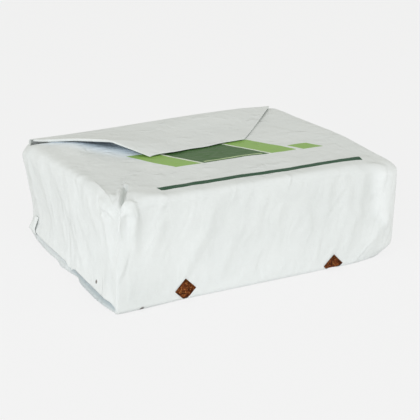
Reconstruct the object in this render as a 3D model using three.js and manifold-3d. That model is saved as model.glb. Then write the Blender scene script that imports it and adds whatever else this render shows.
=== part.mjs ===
// Grow bag: a slab of compressed coir in one bag of white film. The bag is taller than the slab,
// so its mouth is folded shut over the top: the ends are tucked in, the front panel is laid back
// over them and the back panel comes forward over both as a flap with its sides turned under.
// Millimetres, +Z up, the long front face towards -Y, origin on the underside below the slab's middle.
import * as THREE from "three";
import { mergeVertices } from "three/addons/utils/BufferGeometryUtils.js";
import Module from "manifold-3d";

const wasm = await Module();
wasm.setup();

// Driving dimensions of the coir slab
const SLAB_LENGTH = 311;
const SLAB_DEPTH = 246;
const SLAB_HEIGHT = 102;
const TOP_EDGE_RADIUS = 9;
const BOTTOM_EDGE_RADIUS = 3;
const FRONT_LEFT_RADIUS = 4;
const FRONT_RIGHT_RADIUS = 24;
const BACK_RIGHT_RADIUS = 14;
const BACK_LEFT_RADIUS = 14;
const LEAN_FRONT = 8; // of the left end over the height, inwards at its front edge
const LEAN_BACK = 16; // and outwards at its back edge
const LEAN_PIVOT = 0.58; // share of the height at which the leaning end keeps its place
const LEAN_FROM = 0.3; // share of the half length at which the lean sets in
const FRONT_RIGHT_WEAR = 6; // drop of the top's worn corners
const FRONT_LEFT_WEAR = 7;
const BACK_LEFT_WEAR = 8;
const WEAR_FROM = 0.3; // share of the height at which the wear sets in
const FOOT_TUCK = 7; // of the front right corner's foot, in under the slab
const FOOT_TUCK_HEIGHT = 13.4;

// Driving dimensions of the film bag
const FILM = 0.2;
const FILM_CLEARANCE = 0.3; // from the slab to the film where the film lies closest
const FLAP_REACH = 119; // from the back edge to the middle of the flap's front edge
const FLAP_FRONT_WIDTH = 115;
const FLAP_BACK_WIDTH = 285;
const FLAP_FRONT_SHIFT = -9; // of the front edge's middle from the middle of the bag
const FLAP_BACK_SHIFT = -1.2;
const FLAP_SKEW = 13; // of the front edge, whose right end lies further back
const FLAP_ROOT = 14; // height of the back wall that carries the flap
const FLAP_LIFT = 8; // of the flap's loose left edge at its highest
const FLAP_BEND = 0.68; // where along the loose edge that is
const FLAP_RISE = 4.6; // of the back edge towards its right end, where the layers below are thick
const FOLD_GAP_LEFT = 4; // between the layers of the flap's loose left edge
const FOLD_GAP_RIGHT = 0.9;
const TUCK_WIDTH = 50; // of the sides turned under the flap, at its front edge
const PLEAT_LENGTH = 118; // of the pleat that runs in from the front left corner
const PLEAT_WIDTH = 26;
const PLEAT_HEIGHT = 3;
const PLEAT_ANGLE = 64; // degrees from the front edge
const SHEET_BITE = 1; // of a pleat's or ear's joined edge into the film, so that it runs in without a step
const SEAM_LIP_HEIGHT = 9.2; // of the fold that overhangs the foot of the left end
const SEAM_LIP_FRONT = 3.8; // its overhang along the front half
const SEAM_LIP_BACK = 8.4;
const SEAM_TUCK = 3.4; // of the strip below the fold
const EAR_INSET = 11; // of the ear's root from the back, at the foot of the left end
const EAR_LENGTH = 24;
const EAR_HEIGHT = 16;
const EAR_FOOT = 7; // height of its lower edge
const EAR_GAP = 2.6; // from the end wall to the ear
const CORNER_SLACK = 2.8; // of the film round the front right corner
const WALL_FOLD_HEIGHT = 2.8; // of the deepest soft folds in the walls
const WALL_FOLD_WIDTH = 15;
const HIDDEN_FOLD_RUN = 16; // sideways, of the folds on the back and the right end
const TOP_RIPPLE_HEIGHT = 1.2;
const TOP_RIPPLE_SPACING = 130;
const FLAP_WAVE_HEIGHT = 1; // of the waves towards the flap's front edge
const FLAP_WAVE_COUNT = 1.5;
const FLAP_EDGE_RIPPLE = 1.5; // of the front edge from a straight line

// Driving dimensions of the drain holes, squares punched cornerwise
const HOLE_SIDE = 16;
const HOLE_SPACING = 164;
const HOLE_SHIFT = -7; // of each pair's middle from the middle of the bag
const LEFT_HOLE_HEIGHT = 10;
const RIGHT_HOLE_HEIGHT = 4; // its lower corner runs under the bag

// Mesh steps
const LONG_SIDE_STEPS = 22;
const SHORT_SIDE_STEPS = 16;
const CORNER_STEPS = 3;
const EDGE_STEPS = 2;
const FLAP_STEPS_ACROSS = 16;
const FLAP_STEPS_ALONG = 8;
const FLAP_ROLL_STEPS = 4;
const TUCK_STEPS = 8;
const PLEAT_STEPS = 12;
const EAR_STEPS = 4;

// Values that follow from them
const FILM_OFFSET = FILM_CLEARANCE + FILM; // from the slab to the outside of the film
const HALF_LENGTH = SLAB_LENGTH / 2;
const HALF_DEPTH = SLAB_DEPTH / 2;
const BAG_HEIGHT = SLAB_HEIGHT + 2 * FILM_OFFSET;
const FLAP_FLOOR = TOP_RIPPLE_HEIGHT + FILM + FILM_CLEARANCE; // of the flap's lowest layer above the top
const FLAP_LEVEL = FLAP_FLOOR + FOLD_GAP_RIGHT + FILM;
const LIP_TOP = 1.1 * SEAM_LIP_HEIGHT;
const FLAP_FOOT = SLAB_HEIGHT - TOP_EDGE_RADIUS - FLAP_ROOT; // where the flap's root leaves the back wall

const { clamp, lerp, smoothstep, degToRad } = THREE.MathUtils;

// Closed three.js geometry to a solid and back

function solidOf(geometry) {
  const bare = new THREE.BufferGeometry();
  bare.setAttribute("position", geometry.getAttribute("position"));
  bare.setIndex(geometry.index);
  const merged = mergeVertices(bare, 1e-4);
  return new wasm.Manifold(
    new wasm.Mesh({
      numProp: 3,
      vertProperties: merged.getAttribute("position").array,
      triVerts: new Uint32Array(merged.index.array),
    }),
  );
}

function geometryOf(solid) {
  const { vertProperties, triVerts } = solid.getMesh();
  const geometry = new THREE.BufferGeometry();
  geometry.setAttribute("position", new THREE.BufferAttribute(vertProperties, 3));
  geometry.setIndex(new THREE.BufferAttribute(triVerts, 1));
  geometry.computeVertexNormals();
  return geometry;
}

function indexedGeometry(points, triangles) {
  const geometry = new THREE.BufferGeometry().setFromPoints(points);
  geometry.setIndex(triangles);
  geometry.computeVertexNormals();
  return geometry;
}

// Stack of rings of equal count, anticlockwise from above and listed upwards, closed by a fan at each end.
function loft(rings) {
  const columns = rings[0].length;
  const points = rings.flat();
  const triangles = [];
  const at = (ring, column) => ring * columns + (column % columns);
  for (let ring = 0; ring < rings.length - 1; ring++) {
    for (let column = 0; column < columns; column++) {
      const [a, b] = [at(ring, column), at(ring, column + 1)];
      const [c, d] = [at(ring + 1, column + 1), at(ring + 1, column)];
      triangles.push(a, b, c, a, c, d);
    }
  }
  const middleOf = (ring) =>
    ring.reduce((sum, point) => sum.add(point), new THREE.Vector3()).divideScalar(columns);
  const last = rings.length - 1;
  const below = points.push(middleOf(rings[0])) - 1;
  const above = points.push(middleOf(rings[last])) - 1;
  for (let column = 0; column < columns; column++) {
    triangles.push(below, at(0, column + 1), at(0, column));
    triangles.push(above, at(last, column), at(last, column + 1));
  }
  return indexedGeometry(points, triangles);
}

// Sheet of film through a grid of points. Its upper side faces along rows x columns.
function sheet(rows) {
  const count = rows[0].length;
  const direction = (row, column, alongRow) => {
    const line = alongRow ? rows[row] : rows.map((points) => points[column]);
    const place = alongRow ? column : row;
    const next = line[Math.min(place + 1, line.length - 1)];
    return next.clone().sub(line[Math.max(place - 1, 0)]);
  };
  const side = (sign) =>
    rows.flatMap((points, row) =>
      points.map((point, column) => {
        const normal = direction(row, column, false).cross(direction(row, column, true)).normalize();
        return point.clone().addScaledVector(normal, (sign * FILM) / 2);
      }),
    );
  const points = [...side(1), ...side(-1)];
  const lower = rows.length * count;
  const triangles = [];
  const quad = (a, b, c, d) => triangles.push(a, b, c, a, c, d);
  const at = (row, column) => row * count + column;
  for (let row = 0; row < rows.length - 1; row++) {
    for (let column = 0; column < count - 1; column++) {
      const [a, b] = [at(row, column), at(row + 1, column)];
      const [c, d] = [at(row + 1, column + 1), at(row, column + 1)];
      quad(a, b, c, d);
      quad(lower + d, lower + c, lower + b, lower + a);
    }
  }
  const rim = [];
  for (let row = 0; row < rows.length - 1; row++) rim.push(at(row, 0));
  for (let column = 0; column < count - 1; column++) rim.push(at(rows.length - 1, column));
  for (let row = rows.length - 1; row > 0; row--) rim.push(at(row, count - 1));
  for (let column = count - 1; column > 0; column--) rim.push(at(0, column));
  rim.forEach((a, step) => {
    const b = rim[(step + 1) % rim.length];
    quad(b, a, lower + a, lower + b);
  });
  return indexedGeometry(points, triangles);
}

// The settled shape, which slab and film share

// Worn top corners: their sides, and where the wear starts as a share of the half sides
const WORN_CORNERS = [
  { sideX: 1, sideY: -1, fromX: 0.6, fromY: 0.1, drop: FRONT_RIGHT_WEAR },
  { sideX: -1, sideY: -1, fromX: 0.8, fromY: 0.66, drop: FRONT_LEFT_WEAR },
  { sideX: -1, sideY: 1, fromX: 0.8, fromY: 0.62, drop: BACK_LEFT_WEAR },
];

// Place of a point in the bag, as shares of the half sides and of the height.
function shareOf(point) {
  return {
    farX: point.x / HALF_LENGTH,
    farY: clamp(point.y / HALF_DEPTH, -1, 1),
    high: clamp(point.z / BAG_HEIGHT, 0, 1),
  };
}

// The lean of the left end
function lean(point) {
  const { farX, farY, high } = shareOf(point);
  const over = farY > 0 ? LEAN_BACK : LEAN_FRONT;
  point.x -= smoothstep(-farX, LEAN_FROM, 1) * over * (high - LEAN_PIVOT) * farY;
  return point;
}

// The lean, the worn corners and the tucked foot
function settle(point) {
  const { farX, farY, high } = shareOf(point);
  lean(point);
  const low = 1 - smoothstep(point.z, 0, FOOT_TUCK_HEIGHT);
  const tucked = smoothstep(farX, 0.6, 1) * smoothstep(-farY, 0.7, 1) * low;
  point.x -= FOOT_TUCK * tucked;
  point.y += FOOT_TUCK * tucked;
  for (const { sideX, sideY, fromX, fromY, drop } of WORN_CORNERS) {
    const wear = smoothstep(sideX * farX, fromX, 1) * smoothstep(sideY * farY, fromY, 1);
    point.z -= drop * wear * smoothstep(high, WEAR_FROM, 1);
  }
  return point;
}

// Plan outline of the slab, grown or shrunk, as columns that run anticlockwise from the left end

function outline(grow) {
  const [x, y] = [HALF_LENGTH + grow, HALF_DEPTH + grow];
  const arcs = [
    [FRONT_LEFT_RADIUS, -1, -1, 1],
    [FRONT_RIGHT_RADIUS, 1, -1, 1.5],
    [BACK_RIGHT_RADIUS, 1, 1, 0],
    [BACK_LEFT_RADIUS, -1, 1, 0.5],
  ].map(([size, sideX, sideY, halfTurns]) => {
    const radius = Math.max(size + grow, FILM);
    const turn = halfTurns * Math.PI;
    const [centreX, centreY] = [sideX * (x - radius), sideY * (y - radius)];
    return new THREE.EllipseCurve(centreX, centreY, radius, radius, turn, turn + Math.PI / 2);
  });
  return arcs.flatMap((arc, corner) => {
    const next = arcs[(corner + 1) % arcs.length];
    const side = new THREE.LineCurve(arc.getPoint(1), next.getPoint(0));
    const steps = corner % 2 ? SHORT_SIDE_STEPS : LONG_SIDE_STEPS;
    return [...arc.getPoints(CORNER_STEPS).slice(0, -1), ...side.getPoints(steps).slice(0, -1)];
  });
}

// Levels of the section from the rim of the flat underside to the middle of the top. Each has its
// growth in plan, its height, how far it faces up, and its share, drop and tuck in the lip of the left end.

function section(offset, folded) {
  const levels = [];
  const level = (grow, z, up, lip = 0, drop = 0, tuck = 0) => levels.push({ grow, z, up, lip, drop, tuck });
  const arc = (radius, step) => {
    const turn = (step / EDGE_STEPS) * (Math.PI / 2);
    return [(radius + offset) * Math.cos(turn) - radius, (radius + offset) * Math.sin(turn) - radius];
  };
  for (let step = EDGE_STEPS; step >= 0; step--) {
    const [grow, fall] = arc(BOTTOM_EDGE_RADIUS, step);
    level(grow, -fall, -step / EDGE_STEPS, 1);
  }
  if (folded) {
    level(offset, SEAM_LIP_HEIGHT, 0, 1, -0.05, SEAM_TUCK);
    level(offset, LIP_TOP, 0, 1, 0.15);
    for (const share of [0.12, 0.42, 0.72, 1]) {
      level(offset, lerp(LIP_TOP, FLAP_FOOT, share), 0, (1 - share) ** 4);
    }
  }
  for (let step = 0; step <= EDGE_STEPS; step++) {
    const [grow, rise] = arc(TOP_EDGE_RADIUS, step);
    level(grow, SLAB_HEIGHT + rise, step / EDGE_STEPS);
  }
  for (const share of [0.26, 0.52, 0.8]) {
    level(lerp(-TOP_EDGE_RADIUS, -HALF_DEPTH, share), SLAB_HEIGHT + offset, 1);
  }
  return levels;
}

// Soft folds of the film

// One upright fold: where it crosses mid height as a share of half the wall, its sideways run from
// foot to head, and its height as a share of the deepest.
const FRONT_FOLDS = [
  { at: -0.88, run: 4, share: 0.6 },
  { at: -0.68, run: 8, share: 0.7 },
  { at: -0.47, run: 30, share: 0.9 },
  { at: -0.22, run: 34, share: 0.7 },
  { at: 0.06, run: 26, share: 0.8 },
  { at: 0.34, run: -8, share: 0.6 },
  { at: 0.6, run: -22, share: 0.8 },
  { at: 0.86, run: 22, share: 1 },
];
const LEFT_FOLDS = [
  { at: -0.78, run: 12, share: 0.8 },
  { at: -0.42, run: 46, share: 0.9 },
  { at: -0.05, run: 52, share: 0.7 },
  { at: 0.3, run: 44, share: 0.9 },
  { at: 0.68, run: 26, share: 1 },
];

function evenFolds(count, run) {
  const folds = [];
  for (let fold = 0; fold < count; fold++) {
    const side = fold % 2 ? 1 : -1;
    folds.push({ at: lerp(-0.84, 0.84, fold / (count - 1)), run: side * run, share: 0.7 });
  }
  return folds;
}
const BACK_FOLDS = evenFolds(8, HIDDEN_FOLD_RUN);
const RIGHT_FOLDS = evenFolds(6, HIDDEN_FOLD_RUN);

function foldHeight(folds, along, half, z) {
  const rise = clamp(z / SLAB_HEIGHT, 0, 1);
  const head = folds === BACK_FOLDS ? 1 - smoothstep(z, 0.4 * FLAP_FOOT, 0.95 * FLAP_FOOT) : 1;
  const fade = head * smoothstep(rise, 0.02, 0.3) * (1 - 0.6 * smoothstep(rise, 0.75, 1));
  let height = 0;
  for (const fold of folds) {
    const away = along - (fold.at * half + fold.run * (rise - 0.5));
    height += fold.share * Math.exp(-((away / WALL_FOLD_WIDTH) ** 2));
  }
  return WALL_FOLD_HEIGHT * fade * Math.min(height, 1);
}

function wallRelief(point, normal, z) {
  const facing = (amount) => clamp(amount, 0, 1) ** 2;
  return (
    facing(-normal.y) * foldHeight(FRONT_FOLDS, point.x, HALF_LENGTH, z) +
    facing(normal.y) * foldHeight(BACK_FOLDS, point.x, HALF_LENGTH, z) +
    facing(-normal.x) * foldHeight(LEFT_FOLDS, point.y, HALF_DEPTH, z) +
    facing(normal.x) * foldHeight(RIGHT_FOLDS, point.y, HALF_DEPTH, z) +
    cornerSlack(normal, z)
  );
}

// Film that stands off the slab's rounded front right corner, most below the top edge.
function cornerSlack(normal, z) {
  const turned = clamp(normal.dot(new THREE.Vector2(2, -1).normalize()), 0, 1) ** 6;
  const rise = z / SLAB_HEIGHT;
  return CORNER_SLACK * turned * lerp(0.55, 1, smoothstep(rise, 0.4, 0.8)) * smoothstep(rise, 0, 0.1);
}

// The pleat's line, from the front left corner inwards
const UPWARDS = new THREE.Vector3(0, 0, 1);
const PLEAT_FORWARD = new THREE.Vector3(1, 0, 0).applyAxisAngle(UPWARDS, degToRad(PLEAT_ANGLE));
const PLEAT_ASIDE = new THREE.Vector3(PLEAT_FORWARD.y, -PLEAT_FORWARD.x, 0);
const PLEAT_START = new THREE.Vector3(-HALF_LENGTH, -HALF_DEPTH, 0).addScalar(0.5 * TOP_EDGE_RADIUS);

// Low ripples on the panels that show beside the flap and clear of the pleat.
function topRelief(point) {
  const phase = (x, y) => (2 * Math.PI * (x + y)) / TOP_RIPPLE_SPACING;
  const waves = Math.sin(phase(0.7 * point.x, point.y)) * Math.cos(phase(0.4 * point.x, -0.6 * point.y));
  const ripple = 0.5 + 0.5 * waves;
  const beside = smoothstep(Math.abs(point.x) / HALF_LENGTH, 0.62, 0.95);
  const open = Math.max(smoothstep(-point.y / HALF_DEPTH, 0.05, 0.4), beside);
  const fromPleat = Math.abs(new THREE.Vector3(point.x, point.y, 0).sub(PLEAT_START).dot(PLEAT_ASIDE));
  return TOP_RIPPLE_HEIGHT * ripple * open * smoothstep(fromPleat, 1.2 * PLEAT_WIDTH, 2.4 * PLEAT_WIDTH);
}

// The fold along the foot of the left end: the wall hangs over a strip that is tucked in below it.
function seamLip(normal, y) {
  const share = y / HALF_DEPTH;
  const along = clamp(-normal.x, 0, 1) ** 4 * smoothstep(share + 1, 0, 0.14);
  const caught = Math.exp(-(((share + 0.13) / 0.06) ** 2)); // where the strip comes out to the fold
  const reach = lerp(SEAM_LIP_FRONT, SEAM_LIP_BACK, smoothstep(share, -0.25, 0.6));
  return { along, reach: along * reach, tuck: along * Math.min(1, reach / SEAM_TUCK) * (1 - caught) };
}

function filmRings() {
  return section(FILM_OFFSET, true).map((level) => {
    const points = outline(level.grow);
    return points.map((point, column) => {
      const next = points[(column + 1) % points.length];
      const previous = points[(column + points.length - 1) % points.length];
      const normal = new THREE.Vector2(next.y - previous.y, previous.x - next.x).normalize();
      const upward = Math.max(level.up, 0);
      const onWall = level.up < 0 ? 0 : 1 - upward;
      const lip = seamLip(normal, point.y);
      const fold = level.lip * lip.reach - level.tuck * lip.tuck;
      const out = onWall * wallRelief(point, normal, level.z) + fold;
      const drop = level.drop * SEAM_LIP_HEIGHT * lip.along;
      const z = level.z + FILM_OFFSET - drop + upward * topRelief(point);
      return new THREE.Vector3(point.x + normal.x * out, point.y + normal.y * out, z);
    });
  });
}

// The flap: the back panel brought forward over the top

// Between the layers of the loose left edge, which is pressed flat at both its ends.
function leftFoldGap(along) {
  const open = smoothstep(along, 0, 0.4) * (1 - smoothstep(along, 0.55, 0.95));
  return lerp(FOLD_GAP_RIGHT, FOLD_GAP_LEFT, open);
}

// Height of the flap above its level: the loose left edge climbs to a bend and falls to its corner.
function flapLift(across, along) {
  const propped = (place) => (1 - smoothstep(place, -0.25, 0.7)) ** 1.5;
  const loose = propped(across) / propped(0);
  const bend = Math.min(along / FLAP_BEND, (1 - along) / (1 - FLAP_BEND));
  const phase = 2 * Math.PI * FLAP_WAVE_COUNT * across;
  const wave = FLAP_WAVE_HEIGHT * (0.5 + 0.5 * Math.sin(phase)) * smoothstep(along, 0.5, 1);
  const rise = smoothstep(across, 0.05, 0.8) - 0.3 * smoothstep(across, 0.85, 1);
  const lifted = loose * (leftFoldGap(along) - FOLD_GAP_RIGHT + FLAP_LIFT * bend);
  return lifted + wave + FLAP_RISE * rise * (1 - smoothstep(along, 0, 0.8));
}

// Point of the flap's upper layer, from its left edge to its right and from the back edge to the front.
function flapPoint(across, along) {
  const reach = FLAP_REACH - TOP_EDGE_RADIUS - FLAP_SKEW * (across - 0.5);
  const width = lerp(FLAP_BACK_WIDTH, FLAP_FRONT_WIDTH, along);
  const phase = 4 * Math.PI * FLAP_WAVE_COUNT * across;
  const ripple = FLAP_EDGE_RIPPLE * Math.sin(phase) * smoothstep(along, 0.8, 1);
  return new THREE.Vector3(
    lerp(FLAP_BACK_SHIFT, FLAP_FRONT_SHIFT, along) + width * (across - 0.5),
    HALF_DEPTH - TOP_EDGE_RADIUS - reach * along + ripple,
    BAG_HEIGHT + FLAP_LEVEL + flapLift(across, along),
  );
}

function flapRows() {
  const rows = [];
  const acrossSteps = [...Array(FLAP_STEPS_ACROSS + 1).keys()].map((step) => step / FLAP_STEPS_ACROSS);
  const rootHalf = HALF_LENGTH - Math.max(BACK_LEFT_RADIUS, BACK_RIGHT_RADIUS);
  const inFilm = HALF_DEPTH + FILM_OFFSET - FILM;
  const rootZ = SLAB_HEIGHT - TOP_EDGE_RADIUS + FILM_OFFSET;
  const rootX = (across) => lerp(-rootHalf, rootHalf, across);
  rows.push(acrossSteps.map((across) => new THREE.Vector3(rootX(across), inFilm, rootZ - FLAP_ROOT)));
  const outside = inFilm + 3 * FILM;
  rows.push(acrossSteps.map((across) => new THREE.Vector3(rootX(across), outside, rootZ - FLAP_ROOT / 2)));
  for (let step = 1; step < FLAP_ROLL_STEPS; step++) {
    const turn = (step / FLAP_ROLL_STEPS) * (Math.PI / 2);
    const radius = TOP_EDGE_RADIUS + FILM_OFFSET + FLAP_LEVEL;
    rows.push(
      acrossSteps.map((across) => {
        const top = flapPoint(across, 0);
        const x = lerp(rootX(across), top.x, Math.sin(turn));
        const lift = Math.sin(turn) * flapLift(across, 0);
        const y = HALF_DEPTH - TOP_EDGE_RADIUS + radius * Math.cos(turn);
        return new THREE.Vector3(x, y, rootZ + radius * Math.sin(turn) + lift);
      }),
    );
  }
  for (let step = 0; step <= FLAP_STEPS_ALONG; step++) {
    rows.push(acrossSteps.map((across) => flapPoint(across, step / FLAP_STEPS_ALONG)));
  }
  return rows.map((row) => row.map(lean));
}

// One side of the flap turned under: a lap in the upper layer, the round of the fold, and the tuck,
// which closes up to the upper layer as it runs in.
function tuckRows(left) {
  const side = left ? -1 : 1;
  const rows = [];
  for (let step = 1; step <= TUCK_STEPS; step++) {
    const along = step / TUCK_STEPS;
    const gap = left ? leftFoldGap(along) : FOLD_GAP_RIGHT;
    const flapWidth = lerp(FLAP_BACK_WIDTH, FLAP_FRONT_WIDTH, along);
    const width = Math.min(TUCK_WIDTH, 0.44 * FLAP_FRONT_WIDTH) * lerp(0.1, 1, along);
    const radius = Math.min(gap / 2, width / 6);
    const edge = flapPoint(left ? 0 : 1, along);
    const below = (distance, fall) => {
      const across = distance / flapWidth;
      const place = distance < 0 ? edge.clone() : flapPoint(left ? across : 1 - across, along);
      if (distance < 0) place.x -= side * distance;
      place.z -= FILM / 2 + fall;
      return lean(place);
    };
    const row = [below(2 * radius, 0)];
    for (const turn of [90, 30, -30, -90]) {
      const angle = degToRad(turn);
      row.push(below(-radius * Math.cos(angle), radius * (1 - Math.sin(angle))));
    }
    for (const share of [0.35, 0.7, 1]) row.push(below(share * width, lerp(2 * radius, 2 * FILM, share)));
    rows.push(left ? row.reverse() : row);
  }
  return rows;
}

// The pleat at the front left corner, where the front panel's edge is doubled over the left tuck

// Where a line meets the bag, or its start when it passes the bag.
function meeting(start, direction, bag) {
  const [hit] = new THREE.Raycaster(start, direction).intersectObject(bag);
  return hit ? hit.point : start;
}

function pleatRows(bag) {
  const rows = [];
  for (let step = 0; step <= PLEAT_STEPS; step++) {
    const along = step / PLEAT_STEPS;
    const height = PLEAT_HEIGHT * (1 - 0.75 * along);
    const width = PLEAT_WIDTH * Math.sin(Math.PI * lerp(0.06, 0.92, along));
    const fold = Math.max(height / 2, FILM);
    const start = PLEAT_START.clone().addScaledVector(PLEAT_FORWARD, PLEAT_LENGTH * along);
    const across = (distance, rise) => {
      const place = lean(start.clone().addScaledVector(PLEAT_ASIDE, distance).setZ(BAG_HEIGHT));
      const top = meeting(place.clone().setZ(2 * BAG_HEIGHT), UPWARDS.clone().negate(), bag);
      return place.setZ(Math.min(top.z, BAG_HEIGHT + TOP_RIPPLE_HEIGHT) - FILM / 2 + rise);
    };
    rows.push([
      across(fold, -SHEET_BITE),
      across(0, 0.5 * height),
      across(fold, height),
      across(0.45 * width, 0.55 * height),
      across(width, -SHEET_BITE),
    ]);
  }
  return rows;
}

// The ear at the foot of the back left corner, a pinch of film that stands off the end wall
// and is open towards the front

function earRows(bag) {
  const rows = [];
  const rightwards = new THREE.Vector3(1, 0, 0);
  for (let step = 0; step <= EAR_STEPS; step++) {
    const forward = step / EAR_STEPS;
    const y = HALF_DEPTH - EAR_INSET - EAR_LENGTH * forward;
    const row = [0, 0.4, 1].map((rise) => {
      const z = EAR_FOOT + EAR_HEIGHT * rise * (1 + 0.25 * forward);
      const start = new THREE.Vector3(-SLAB_LENGTH, y, Math.max(z, LIP_TOP));
      const gap = EAR_GAP * (1 - 0.6 * Math.abs(2 * rise - 0.8));
      const out = lerp(-SHEET_BITE, gap, smoothstep(forward, 0, 0.5));
      return new THREE.Vector3(meeting(start, rightwards, bag).x - out, y, z);
    });
    rows.push(row);
  }
  return rows;
}

// Drain holes: a diamond prism through the wall, and the part of it that runs on under the bag

function drainHole(x, height, side) {
  const reach = HOLE_SIDE * Math.SQRT1_2;
  const depth = 4 * BOTTOM_EDGE_RADIUS;
  const wallY = side * HALF_DEPTH;
  const wall = new THREE.BoxGeometry(HOLE_SIDE, depth, HOLE_SIDE);
  wall.rotateY(Math.PI / 4);
  wall.translate(x, wallY, FILM_OFFSET + height);
  const under = reach - height;
  if (under <= BOTTOM_EDGE_RADIUS) return solidOf(wall);
  const foot = new THREE.CylinderGeometry(under, under, depth, 4);
  foot.rotateX(Math.PI / 2);
  foot.translate(x, wallY, 0);
  return solidOf(wall).add(solidOf(foot));
}

// The film bag

function filmBag() {
  const outer = loft(filmRings().map((ring) => ring.map(settle)));
  const inner = outer.clone();
  const place = inner.getAttribute("position");
  const normals = inner.getAttribute("normal");
  for (let vertex = 0; vertex < place.count; vertex++) {
    const inward = new THREE.Vector3().fromBufferAttribute(normals, vertex).multiplyScalar(-FILM);
    place.setXYZ(
      vertex,
      place.getX(vertex) + inward.x,
      place.getY(vertex) + inward.y,
      place.getZ(vertex) + inward.z,
    );
  }
  let film = solidOf(outer);
  const bag = new THREE.Mesh(outer);
  for (const rows of [flapRows(), tuckRows(true), tuckRows(false), pleatRows(bag), earRows(bag)]) {
    film = film.add(solidOf(sheet(rows)));
  }
  film = film.subtract(solidOf(inner));
  for (const side of [-1, 1]) {
    for (const [hand, height] of [
      [-1, LEFT_HOLE_HEIGHT],
      [1, RIGHT_HOLE_HEIGHT],
    ]) {
      film = film.subtract(drainHole(HOLE_SHIFT + (hand * HOLE_SPACING) / 2, height, side));
    }
  }
  return geometryOf(film);
}

// The coir slab, pressed to a plain block

function coirSlab() {
  const rings = section(0, false).map((level) =>
    outline(level.grow).map((point) => settle(new THREE.Vector3(point.x, point.y, level.z + FILM_OFFSET))),
  );
  return geometryOf(solidOf(loft(rings)));
}

// Assembly

const filmMaterial = new THREE.MeshStandardMaterial({ color: 0xe6eae9, roughness: 0.42, metalness: 0 });
const coirMaterial = new THREE.MeshStandardMaterial({ color: 0x5a3018, roughness: 0.95, metalness: 0 });

const film_bag = new THREE.Mesh(filmBag(), filmMaterial);
film_bag.name = "film_bag";
const coir_slab = new THREE.Mesh(coirSlab(), coirMaterial);
coir_slab.name = "coir_slab";

const growBag = new THREE.Group();
growBag.name = "grow_bag";
growBag.add(film_bag, coir_slab);

export default growBag;
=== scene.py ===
import math

import bmesh
import bpy
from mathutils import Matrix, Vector, noise


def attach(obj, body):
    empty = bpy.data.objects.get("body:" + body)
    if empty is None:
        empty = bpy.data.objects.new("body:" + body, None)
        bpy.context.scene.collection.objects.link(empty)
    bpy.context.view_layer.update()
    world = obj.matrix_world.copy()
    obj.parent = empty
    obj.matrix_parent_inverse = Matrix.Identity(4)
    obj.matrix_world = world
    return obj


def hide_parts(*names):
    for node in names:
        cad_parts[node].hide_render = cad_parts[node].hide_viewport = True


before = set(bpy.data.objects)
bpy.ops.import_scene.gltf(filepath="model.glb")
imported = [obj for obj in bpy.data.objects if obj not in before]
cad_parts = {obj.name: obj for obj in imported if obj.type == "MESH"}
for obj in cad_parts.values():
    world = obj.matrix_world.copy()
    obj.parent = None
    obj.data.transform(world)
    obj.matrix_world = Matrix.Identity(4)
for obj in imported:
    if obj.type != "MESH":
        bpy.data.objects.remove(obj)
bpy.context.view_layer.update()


# Coir slab
# A block of coir pith and fibre pressed to shape and dried: brown, rough and matt. It stands loose in
# the film bag and shows only in the drain holes. Its sizes are in millimetres.
MM = 0.001
LENGTH, DEPTH, HEIGHT = 311, 246, 102
TOP_RADIUS, BOTTOM_RADIUS, LEAST_RADIUS = 9, 3, 0.2
# Radii of the upright corners, by their sides along and across the bag
CORNER_RADIUS = {(-1, -1): 4, (1, -1): 24, (1, 1): 14, (-1, 1): 14}
FILM_OFFSET = 0.5
BAG_HEIGHT = HEIGHT + 2 * FILM_OFFSET
# The left end leans: out at its back top and front foot, in at its front top and back foot
LEAN_FRONT, LEAN_BACK, LEAN_PIVOT, LEAN_FROM = 8, 16, 0.58, 0.3
# Worn corners of the top: their sides, the shares of the way out where wear starts, and its drop
WORN_CORNERS = [(1, -1, 0.6, 0.1, 6), (-1, -1, 0.87, 0.78, 7), (-1, 1, 0.88, 0.72, 8)]
WEAR_FROM = 0.3
# The front right foot is tucked in: how far, from which shares of the way out, up to what share in height
FOOT_TUCK, TUCK_FROM_X, TUCK_FROM_Y, TUCK_TOP = 7, 0.6, 0.7, 0.13


def smooth(value, low, high):
    """0 below low, 1 above high and an even rise between them."""
    share = min(max((value - low) / (high - low), 0), 1)
    return share * share * (3 - 2 * share)


def hump(value, centre, width):
    """1 at the centre, with a soft fall to either side."""
    return math.exp(-(((value - centre) / width) ** 2))


def grid_box(step):
    """A box of the slab's size on the floor, cut into a grid of about that step."""
    box = bmesh.new()
    bmesh.ops.create_cube(box, size=1)
    bmesh.ops.scale(box, vec=(LENGTH, DEPTH, HEIGHT), verts=box.verts)
    bmesh.ops.translate(box, vec=(0, 0, HEIGHT / 2), verts=box.verts)
    for axis, size in enumerate((LENGTH, DEPTH, HEIGHT)):
        along = [e for e in box.edges if abs((e.verts[1].co - e.verts[0].co)[axis]) > size / 2]
        bmesh.ops.subdivide_edges(box, edges=along, cuts=round(size / step) - 1, use_grid_fill=True)
    return box


def settled(x, y, z, worn=True):
    """A point moved by the lean of the left end, the worn corners and the tucked front right foot."""
    far_x, far_y = 2 * x / LENGTH, min(max(2 * y / DEPTH, -1), 1)
    high = min(max(z / BAG_HEIGHT, 0), 1)
    lean = LEAN_BACK if y > 0 else LEAN_FRONT
    x -= smooth(-far_x, LEAN_FROM, 1) * lean * (high - LEAN_PIVOT) * far_y
    tuck = FOOT_TUCK * smooth(far_x, TUCK_FROM_X, 1) * smooth(-far_y, TUCK_FROM_Y, 1)
    tuck *= 1 - smooth(high, 0, TUCK_TOP)
    for side_x, side_y, from_x, from_y, drop in WORN_CORNERS if worn else ():
        wear = smooth(side_x * far_x, from_x, 1) * smooth(side_y * far_y, from_y, 1)
        z -= drop * wear * smooth(high, WEAR_FROM, 1)
    return Vector((x - tuck, y + tuck, z))


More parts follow.
